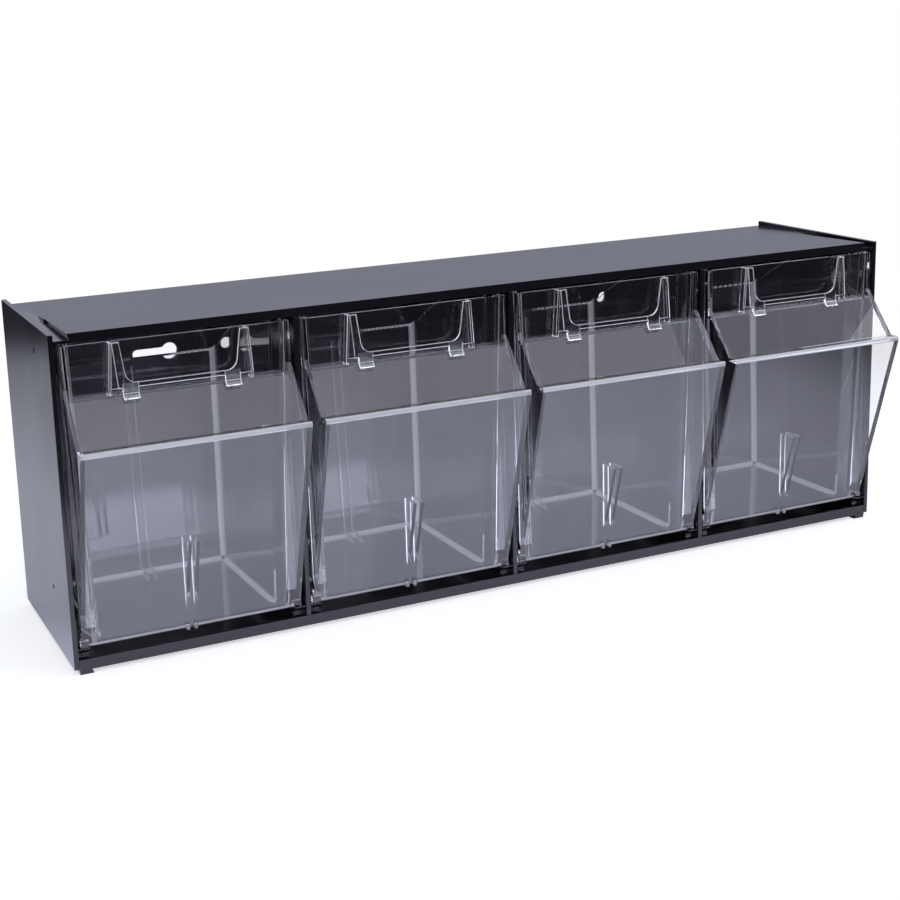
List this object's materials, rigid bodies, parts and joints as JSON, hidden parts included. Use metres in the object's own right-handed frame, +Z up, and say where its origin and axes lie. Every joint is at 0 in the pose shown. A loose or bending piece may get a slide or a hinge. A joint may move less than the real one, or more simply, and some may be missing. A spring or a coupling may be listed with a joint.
{
  "type": "tilt out bin storage unit",
  "caption": "Low wide black plastic cabinet with clear tilt-out bins side by side, label holders, stacking sockets and hanging keyholes.",
  "frame": {"origin": "middle of the unit's box, on the surface that it stands on", "axes": "+X to the right along the front, +Y back into the cabinet, +Z up"},
  "size_m": [0.6, 0.1672, 0.2083],
  "materials": {
    "black_plastic": "satin gloss, injection moulded",
    "clear_plastic": "polished, clear",
    "clear_label_plastic": "polished, clear"
  },
  "bodies": {
    "cabinet": {"cabinet_top": "black_plastic", "cabinet_bottom": "black_plastic", "cabinet_left_end": "black_plastic", "cabinet_right_end": "black_plastic", "cabinet_back": "black_plastic", "divider_1": "black_plastic", "divider_2": "black_plastic", "divider_3": "black_plastic"},
    "tilting_bin_1": {"bin_1": "clear_plastic", "label_frame_1": "clear_label_plastic"},
    "tilting_bin_2": {"bin_2": "clear_plastic", "label_frame_2": "clear_label_plastic"},
    "tilting_bin_3": {"bin_3": "clear_plastic", "label_frame_3": "clear_label_plastic"},
    "tilting_bin_4": {"bin_4": "clear_plastic", "label_frame_4": "clear_label_plastic"}
  },
  "joints": [
    {"name": "bin_1_tilt", "type": "hinge", "parent": "cabinet", "child": "tilting_bin_1", "pos_m": [-0.22387, -0.04623, 0.0177], "axis": [1, 0, 0], "range_deg": [0, 37.1]},
    {"name": "bin_2_tilt", "type": "hinge", "parent": "cabinet", "child": "tilting_bin_2", "pos_m": [-0.07462, -0.04623, 0.0177], "axis": [1, 0, 0], "range_deg": [0, 37.1]},
    {"name": "bin_3_tilt", "type": "hinge", "parent": "cabinet", "child": "tilting_bin_3", "pos_m": [0.07462, -0.04623, 0.0177], "axis": [1, 0, 0], "range_deg": [0, 37.1]},
    {"name": "bin_4_tilt", "type": "hinge", "parent": "cabinet", "child": "tilting_bin_4", "pos_m": [0.22387, -0.04623, 0.0177], "axis": [1, 0, 0], "range_deg": [0, 37.1]}
  ]
}
